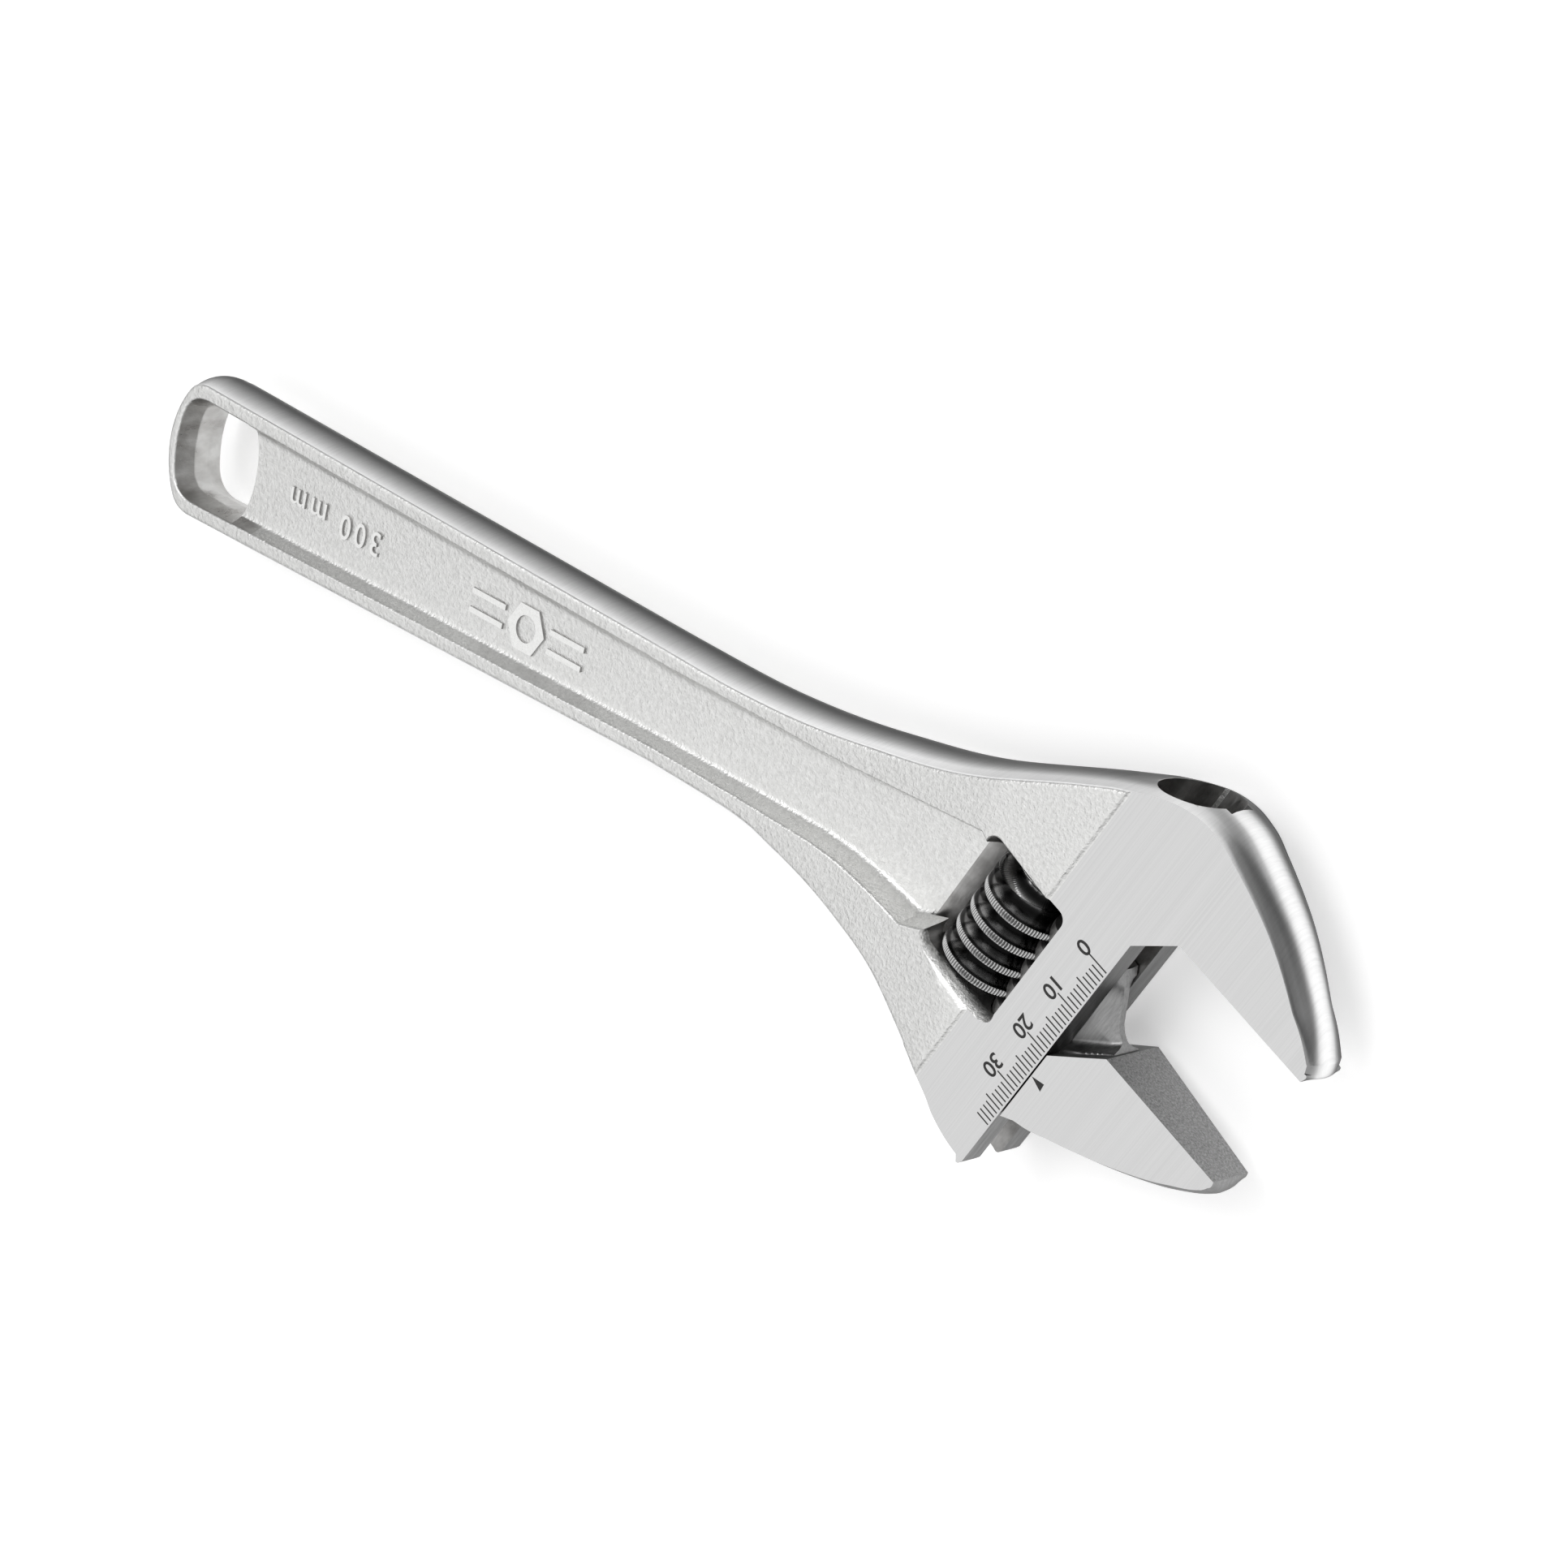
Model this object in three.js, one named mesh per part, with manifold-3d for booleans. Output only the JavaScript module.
// Adjustable wrench, 300 mm class, jaws set 25.7 mm apart.
//
// Five pieces: the forged body with its fixed jaw, the movable jaw with its slide rail and rack,
// the knurled worm screw that drives the rack, the pin that the worm turns on, and the worm's spring.
//
// Millimetres, +Z up. The wrench lies flat with its handle along X, the head towards +X and the
// fixed jaw on the +Y side. The origin is under the middle of the whole tool, on the surface it lies on.

import * as THREE from 'three';
import * as BufferGeometryUtils from 'three/addons/utils/BufferGeometryUtils.js';
import Module from 'manifold-3d';

const wasm = await Module();
wasm.setup();

// ---------- Driving dimensions ----------

// The head leans from the handle. In the head, s runs along the slide in the opening direction and
// t runs across it towards the jaw tips; s = 0 is the scale's zero and t = 0 the front of the slide.
const HEAD_LEAN = THREE.MathUtils.degToRad(23.4);
const HEAD_DROP = 2.3;

const GROUND_HALF = 7.7;       // half thickness of the ground faces at t = 0
const GROUND_TAPER = 0.082;    // half thickness lost for each mm towards the jaw tips
const SHOULDER_T = -16.4;      // the ground faces stop here and the forging stands proud
const FORGING_HALF = 9.6;      // half thickness of the forging behind the shoulder
const HANDLE_HALF = 6.2;       // half thickness of the handle's rims
const PANEL_HALF = 3.1;        // half thickness of the sunk panel between the rims

const HANDLE_END = -262.2;     // middle of the handle's rounded end
const HANDLE_END_RADIUS = 21;
const NECK_X = -112;           // the narrowest place of the handle
const NECK_HALF = 12.1;        // half width of the handle there
const HANDLE_TAPER = 0.023;    // half width gained for each mm towards the end
const RIM = 4.2;               // width of the rims

const FIXED_FACE_S = -14.33;   // working face of the fixed jaw
const MOVABLE_FACE_S = 11.38;  // working face of the movable jaw, as set
const JAW_TIP_T = 36.6;
const HEAD_END_S = 49.6;       // lower end of the slide, where its corner is rounded
const THROAT = { s: -7.2, rise: 6.6 };

const SLOT_HALF = 2.9;         // half width of the slot that the movable jaw's web runs in
const BORE = { t: -10, radius: 6.9 };
const RAIL_RADIUS = 6.6;
const WEB_HALF = 2.6;

const WINDOW = { s0: -1.2, s1: 25.1, t0: -31.9, t1: -11.6, corner: 2.2 };
const WORM = { t: -22.3, radius: 9.2, core: 5.2, crest: 1.4, pitch: 4.8, s0: 0.2, s1: 24.3, firstCrest: 6.9 };
const PIN = { radius: 2.5, threadRadius: 3.4, s0: -7.5, threadFrom: 28, s1: 38.5 };
const SPRING = { radius: 3.2, wire: 0.45, turns: 5, s0: -0.5, s1: 7 };
const RUNNING_GAP = 0.3;

const FAR = 60;                // how far a cutting tool reaches past the work

// ---------- Frames, outlines and solids ----------

const sin = Math.sin(HEAD_LEAN);
const cos = Math.cos(HEAD_LEAN);

// A point of the head, given along the slide and across it, in the plane of the tool.
const head = (s, t) => new THREE.Vector2(-s * sin + t * cos, -s * cos - t * sin - HEAD_DROP);

// Turns geometry modelled with x = s and y = t into the head's place.
const toHead = new THREE.Matrix4().set(
  -sin, cos, 0, 0,
  -cos, -sin, 0, -HEAD_DROP,
  0, 0, 1, 0,
  0, 0, 0, 1,
);

// Turns geometry that runs along its own Y axis into the head, with Y along the slide.
const alongSlide = (t) => new THREE.Matrix4().makeTranslation(0, t, 0)
  .multiply(new THREE.Matrix4().makeRotationZ(-Math.PI / 2));

const groundHalf = (t) => GROUND_HALF - GROUND_TAPER * t;

function solid(geometry, matrix) {
  const clean = geometry.clone();
  for (const name of ['normal', 'uv', 'uv1']) clean.deleteAttribute(name);
  if (matrix) clean.applyMatrix4(matrix);
  const merged = BufferGeometryUtils.mergeVertices(clean, 1e-4);
  const triVerts = new Uint32Array(merged.index.array);
  if (matrix && matrix.determinant() < 0) {
    for (let i = 0; i < triVerts.length; i += 3) [triVerts[i], triVerts[i + 1]] = [triVerts[i + 1], triVerts[i]];
  }
  const vertProperties = new Float32Array(merged.attributes.position.array);
  return new wasm.Manifold(new wasm.Mesh({ numProp: 3, vertProperties, triVerts }));
}

function mesh(name, manifold, material) {
  const out = manifold.getMesh();
  const geometry = new THREE.BufferGeometry();
  geometry.setAttribute('position', new THREE.BufferAttribute(out.vertProperties, 3));
  geometry.setIndex(new THREE.BufferAttribute(out.triVerts, 1));
  geometry.computeVertexNormals();
  const node = new THREE.Mesh(geometry, material);
  node.name = name;
  return node;
}

// A flat shape given a thickness from one height to another.
function slab(shape, z0, z1, matrix) {
  const geometry = new THREE.ExtrudeGeometry(shape, { depth: z1 - z0, bevelEnabled: false, curveSegments: 8 });
  geometry.translate(0, 0, z0);
  return solid(geometry, matrix);
}

const polygon = (points) => new THREE.Shape(points.map(([x, y]) => new THREE.Vector2(x, y)));

// A bar along the slide whose cross-section is a shape drawn across the slide (x = t, y = z).
function barAlongSlide(shape, s0, s1) {
  const geometry = new THREE.ExtrudeGeometry(shape, { depth: s1 - s0, bevelEnabled: false, curveSegments: 8 });
  geometry.translate(0, 0, s0);
  const turn = new THREE.Matrix4().set(0, 0, 1, 0, 1, 0, 0, 0, 0, 1, 0, 0, 0, 0, 0, 1);
  return solid(geometry, toHead.clone().multiply(turn));
}

function rodAlongSlide(radius, t, s0, s1, sides = 32) {
  const geometry = new THREE.CylinderGeometry(radius, radius, s1 - s0, sides);
  geometry.translate(0, (s0 + s1) / 2, 0);
  return solid(geometry, toHead.clone().multiply(alongSlide(t)));
}

const handleHalf = (x) => NECK_HALF + HANDLE_TAPER * (NECK_X - x);

// ---------- Body ----------

// The whole outline: handle end, top edge, back of the fixed jaw, jaw face, slide, lower edge.
function bodyOutline() {
  const arcCentre = HANDLE_END + HANDLE_END_RADIUS;
  const cornerX = HANDLE_END + 6.2;
  const straightX = HANDLE_END + 11;
  const arcAngle = THREE.MathUtils.degToRad(35);
  const arcX = arcCentre - HANDLE_END_RADIUS * Math.cos(arcAngle);
  const arcY = HANDLE_END_RADIUS * Math.sin(arcAngle);
  const v = (x, y) => new THREE.Vector2(x, y);
  const shape = new THREE.Shape();
  shape.moveTo(arcX, arcY);
  shape.quadraticCurveTo(cornerX, handleHalf(cornerX), straightX, handleHalf(straightX));
  shape.lineTo(NECK_X, NECK_HALF);
  // Upper edge of the neck and the rounded back of the fixed jaw, down to its tip.
  shape.splineThru([
    v(-95, 11.9), v(-78, 12.8), v(-61, 15), v(-40.5, 18.9), v(-15, 27.2), v(0, 31.4),
    v(7.5, 32.3), v(13.5, 31.1), v(19.3, 27.8), v(29.8, 18.2), v(38, 6.5), head(-18.2, 37),
  ]);
  shape.splineThru([head(-15.8, JAW_TIP_T + 1.2), head(FIXED_FACE_S, JAW_TIP_T)]);
  shape.lineTo(head(FIXED_FACE_S, THROAT.rise).x, head(FIXED_FACE_S, THROAT.rise).y);
  shape.lineTo(head(THROAT.s, 0).x, head(THROAT.s, 0).y);
  shape.lineTo(head(HEAD_END_S - 1.2, 0).x, head(HEAD_END_S - 1.2, 0).y);
  // Lower end of the head and the lower edge of the neck.
  shape.splineThru([
    head(HEAD_END_S - 0.3, -0.4), head(HEAD_END_S, -1.7), head(49.2, -5.5), head(48, -10), head(45.8, -15),
    v(-41.9, -30), v(-50.1, -24.2), v(-59.5, -20.1), v(-68.4, -17), v(-78, -14.6), v(-89, -12.7),
    v(NECK_X, -NECK_HALF),
  ]);
  shape.lineTo(straightX, -handleHalf(straightX));
  shape.quadraticCurveTo(cornerX, -handleHalf(cornerX), arcX, -arcY);
  shape.absarc(arcCentre, 0, HANDLE_END_RADIUS, Math.PI + arcAngle, Math.PI - arcAngle, true);
  return shape;
}

// Thickness along the handle: thin rims, swelling through the neck to the full forging.
function sideProfile() {
  const shape = new THREE.Shape();
  const swell = [[-118, HANDLE_HALF], [-90, 6.7], [-60, 7.9], [-30, FORGING_HALF]];
  shape.moveTo(HANDLE_END - 1, -HANDLE_HALF);
  for (const [x, half] of swell) shape.lineTo(x, -half);
  shape.lineTo(FAR, -FORGING_HALF);
  shape.lineTo(FAR, FORGING_HALF);
  for (const [x, half] of swell.slice().reverse()) shape.lineTo(x, half);
  shape.lineTo(HANDLE_END - 1, HANDLE_HALF);
  return shape;
}

function sideSolid() {
  const geometry = new THREE.ExtrudeGeometry(sideProfile(), { depth: 2 * FAR, bevelEnabled: false });
  geometry.translate(0, 0, -FAR);
  geometry.rotateX(Math.PI / 2);
  return solid(geometry);
}

// The inner edge of the rims, and the sunk panel's outline from the hanging hole to the window.
const holeHalf = (x) => handleHalf(x) - RIM;
const HOLE = { x0: -258.8, x1: -234.6, webBulge: 2.4 };

function holeOutline() {
  const cornerX = HOLE.x0 + 4.6;
  const webX = HOLE.x1 - HOLE.webBulge;
  const shape = new THREE.Shape();
  shape.moveTo(webX, -holeHalf(webX));
  shape.quadraticCurveTo(HOLE.x1 + HOLE.webBulge, 0, webX, holeHalf(webX));
  shape.lineTo(cornerX + 2, holeHalf(cornerX + 2));
  shape.quadraticCurveTo(cornerX - 0.6, holeHalf(cornerX), cornerX - 1.6, holeHalf(cornerX) - 2);
  shape.quadraticCurveTo(HOLE.x0 - 2, 0, cornerX - 1.6, 2 - holeHalf(cornerX));
  shape.quadraticCurveTo(cornerX - 0.6, -holeHalf(cornerX), cornerX + 2, -holeHalf(cornerX + 2));
  return shape;
}

function panelOutline() {
  const v = (x, y) => new THREE.Vector2(x, y);
  const startX = HOLE.x1 - 6;
  const shape = new THREE.Shape();
  shape.moveTo(startX, -holeHalf(startX));
  shape.lineTo(startX, holeHalf(startX));
  shape.lineTo(NECK_X, 8);
  shape.splineThru([v(-82, 8.1), v(-66, 8.2), v(-31.2, 9.8)]);
  const windowTop = head(WINDOW.s0 + 3, WINDOW.t0 + 1);
  const windowLow = head(WINDOW.s1 - 3, WINDOW.t0 + 1);
  shape.lineTo(windowTop.x, windowTop.y);
  shape.lineTo(windowLow.x, windowLow.y);
  shape.splineThru([v(-44.4, -12.4), v(-54.5, -9.9), v(-66, -8.2), v(-82, -8), v(NECK_X, -8)]);
  return shape;
}

function roundedRectangle(x0, y0, x1, y1, r) {
  const shape = new THREE.Shape();
  shape.moveTo(x0 + r, y0);
  shape.lineTo(x1 - r, y0);
  shape.quadraticCurveTo(x1, y0, x1, y0 + r);
  shape.lineTo(x1, y1 - r);
  shape.quadraticCurveTo(x1, y1, x1 - r, y1);
  shape.lineTo(x0 + r, y1);
  shape.quadraticCurveTo(x0, y1, x0, y1 - r);
  shape.lineTo(x0, y0 + r);
  shape.quadraticCurveTo(x0, y0, x0 + r, y0);
  return shape;
}

// The two wedges of metal that grinding takes off the head's faces.
function groundWedge(side) {
  const top = side * (FORGING_HALF + 2);
  const wedge = polygon([
    [SHOULDER_T, side * groundHalf(SHOULDER_T)], [FAR, side * groundHalf(FAR)], [FAR, top], [SHOULDER_T, top],
  ]);
  return barAlongSlide(wedge, -FAR, FAR);
}

function body() {
  let part = slab(bodyOutline(), -FORGING_HALF, FORGING_HALF).intersect(sideSolid());
  part = part.subtract(groundWedge(1)).subtract(groundWedge(-1));
  part = part.subtract(slab(holeOutline(), -FAR, FAR));
  part = part.subtract(slab(panelOutline(), PANEL_HALF, FAR));
  part = part.subtract(slab(panelOutline(), -FAR, -PANEL_HALF));
  const window = roundedRectangle(WINDOW.s0, WINDOW.t0, WINDOW.s1, WINDOW.t1, WINDOW.corner);
  part = part.subtract(slab(window, -FAR, FAR, toHead));
  // Slide: a round bore for the rail and a slot for the web, which also runs up into the fixed jaw.
  part = part.subtract(rodAlongSlide(BORE.radius, BORE.t, -FAR, FAR, 40));
  const slot = polygon([
    [FAR, BORE.t], [FAR, 1], [THROAT.s, 1], [THROAT.s, 3], [-13.2, 7.4], [-37, -3], [-40, BORE.t],
  ]);
  part = part.subtract(slab(slot, -SLOT_HALF, SLOT_HALF, toHead));
  // Holes for the worm's pin: blind above the window, threaded and open below it.
  part = part.subtract(rodAlongSlide(PIN.radius + RUNNING_GAP, WORM.t, PIN.s0 - RUNNING_GAP, 10, 24));
  part = part.subtract(rodAlongSlide(PIN.radius + RUNNING_GAP, WORM.t, 10, PIN.threadFrom, 24));
  return part.subtract(rodAlongSlide(PIN.threadRadius + RUNNING_GAP, WORM.t, PIN.threadFrom - 0.5, FAR, 24));
}

// ---------- Movable jaw ----------

const JAW = { root: 0.35, low: 34.9, back: 35.8, shoulderT: 8.9, shoulderS: 20.1 };

function jawHead() {
  const shape = new THREE.Shape();
  const v = (s, t) => new THREE.Vector2(s, t);
  shape.moveTo(JAW.back, JAW.root);
  shape.splineThru([v(34.3, 7.6), v(28.9, 18.5), v(22.7, 28.4), v(17.8, 34.2), v(15, 36.6)]);
  shape.splineThru([v(13.4, 37.2), v(12.2, 37), v(MOVABLE_FACE_S, JAW_TIP_T - 0.3)]);
  shape.lineTo(MOVABLE_FACE_S, JAW.shoulderT);
  shape.lineTo(JAW.shoulderS, JAW.root);
  const blank = slab(shape, -GROUND_HALF, GROUND_HALF, toHead);
  const faces = polygon([
    [0, -groundHalf(0)], [FAR, -groundHalf(FAR)], [FAR, groundHalf(FAR)], [0, groundHalf(0)],
  ]);
  return blank.intersect(barAlongSlide(faces, 0, FAR));
}

const RAIL = { s0: -1, s1: 40 };

// The web joins the rail to the jaw and reaches up past the working face.
function jawWeb() {
  const web = polygon([
    [RAIL.s0 + 2.2, BORE.t], [RAIL.s0 + 2.2, -1], [9.6, 4], [10.9, 5.7], [MOVABLE_FACE_S, 6.4],
    [MOVABLE_FACE_S, 14], [JAW.low - 6, 5], [JAW.low, JAW.root], [JAW.low + 0.2, BORE.t],
  ]);
  return slab(web, -WEB_HALF, WEB_HALF, toHead);
}

// A cutter for one rack space, leaning with the worm's thread.
function rackSpace(s) {
  const half = WORM.crest / 2 + RUNNING_GAP;
  const floor = WORM.t + WORM.radius + RUNNING_GAP;
  const mouth = BORE.t - BORE.radius;
  const spread = 1.15;
  const opening = polygon([[-half, floor], [half, floor], [half + spread, mouth], [-half - spread, mouth]]);
  const geometry = new THREE.ExtrudeGeometry(opening, { depth: 24, bevelEnabled: false });
  geometry.translate(0, 0, -12);
  const lead = Math.atan(WORM.pitch / (2 * Math.PI * WORM.radius));
  geometry.rotateY(lead);
  geometry.translate(s, 0, 0);
  return solid(geometry, toHead);
}

function movableJaw() {
  let part = rodAlongSlide(RAIL_RADIUS, BORE.t, RAIL.s0, RAIL.s1, 40);
  const firstSpace = WORM.firstCrest - 2 * WORM.pitch;
  for (let s = firstSpace; s < RAIL.s1 + WORM.pitch; s += WORM.pitch) part = part.subtract(rackSpace(s));
  return part.add(jawWeb()).add(jawHead());
}

// ---------- Worm, pin and spring ----------

// The radius of the thread at a place measured from the middle of a crest, along the axis.
function threadRadius(fromCrest) {
  const flank = Math.abs(fromCrest) - WORM.crest / 2;
  if (flank <= 0) return WORM.radius;
  const valley = WORM.pitch / 2 - WORM.crest / 2;
  const fall = Math.min(flank / valley, 1);
  return WORM.radius - (WORM.radius - WORM.core) * Math.sin(fall * Math.PI / 2) ** 0.8;
}

function wormScrew() {
  const rows = 84;
  const sides = 32;
  const length = WORM.s1 - WORM.s0;
  const threadFrom = WORM.s0 + 3;
  const geometry = new THREE.CylinderGeometry(WORM.radius, WORM.radius, length, sides, rows);
  geometry.translate(0, (WORM.s0 + WORM.s1) / 2, 0);
  const position = geometry.attributes.position;
  for (let i = 0; i < position.count; i += 1) {
    const [x, s, z] = [position.getX(i), position.getY(i), position.getZ(i)];
    const radius = Math.hypot(x, z);
    if (radius < 1e-6) continue;
    // The angle starts at the rack's side, +t, and grows towards +Z, as the thread rises along s.
    const angle = Math.atan2(z, x);
    const turned = s - WORM.firstCrest - WORM.pitch * angle / (2 * Math.PI);
    const fromCrest = turned - WORM.pitch * Math.round(turned / WORM.pitch);
    const fade = THREE.MathUtils.smoothstep(s, threadFrom - 1, threadFrom + 2);
    const cut = THREE.MathUtils.lerp(WORM.core, threadRadius(fromCrest), fade);
    position.setX(i, x * cut / radius);
    position.setZ(i, z * cut / radius);
  }
  const turnToSlide = new THREE.Matrix4().set(0, 1, 0, 0, 1, 0, 0, WORM.t, 0, 0, 1, 0, 0, 0, 0, 1);
  let part = solid(geometry, toHead.clone().multiply(turnToSlide));
  part = part.subtract(rodAlongSlide(PIN.radius + RUNNING_GAP, WORM.t, -FAR, FAR, 24));
  const pocket = SPRING.radius + SPRING.wire + RUNNING_GAP;
  return part.subtract(rodAlongSlide(pocket, WORM.t, -FAR, SPRING.s1 + SPRING.wire + RUNNING_GAP, 24));
}

function wormPin() {
  let part = rodAlongSlide(PIN.radius, WORM.t, PIN.s0, PIN.threadFrom + 1, 24);
  part = part.add(rodAlongSlide(PIN.threadRadius, WORM.t, PIN.threadFrom, PIN.s1, 24));
  const slot = polygon([[WORM.t - 5, -0.5], [WORM.t + 5, -0.5], [WORM.t + 5, 0.5], [WORM.t - 5, 0.5]]);
  return part.subtract(barAlongSlide(slot, PIN.s1 - 1.4, FAR));
}

class Helix extends THREE.Curve {
  getPoint(u, target = new THREE.Vector3()) {
    const angle = u * SPRING.turns * 2 * Math.PI;
    const s = SPRING.s0 + SPRING.wire + u * (SPRING.s1 - SPRING.s0 - 2 * SPRING.wire);
    return target.set(s, WORM.t + SPRING.radius * Math.cos(angle), SPRING.radius * Math.sin(angle));
  }
}

function wormSpring() {
  const section = new THREE.Shape();
  section.absarc(0, 0, SPRING.wire, 0, 2 * Math.PI);
  const geometry = new THREE.ExtrudeGeometry(section, {
    steps: SPRING.turns * 14, extrudePath: new Helix(), bevelEnabled: false, curveSegments: 4,
  });
  return solid(geometry, toHead);
}

// ---------- Materials and assembly ----------

const steel = (color, roughness, metalness) => new THREE.MeshStandardMaterial({ color, roughness, metalness });
const forgedChrome = steel(0xd2d3d1, 0.42, 0.9);
const groundSteel = steel(0xc6c7c6, 0.35, 0.95);
const polishedChrome = steel(0x8e8f90, 0.18, 1);
const plainSteel = steel(0x9a9b9c, 0.4, 0.9);
const springSteel = steel(0x6d6e70, 0.35, 0.9);

const wrench = new THREE.Group();
wrench.add(
  mesh('body_forging', body(), forgedChrome),
  mesh('movable_jaw', movableJaw(), groundSteel),
  mesh('worm_screw', wormScrew(), polishedChrome),
  mesh('worm_pin', wormPin(), plainSteel),
  mesh('worm_spring', wormSpring(), springSteel),
);

// Rest the tool on the surface and centre it over the origin.
const box = new THREE.Box3().setFromObject(wrench);
wrench.position.set(-(box.min.x + box.max.x) / 2, -(box.min.y + box.max.y) / 2, -box.min.z);

export default wrench;
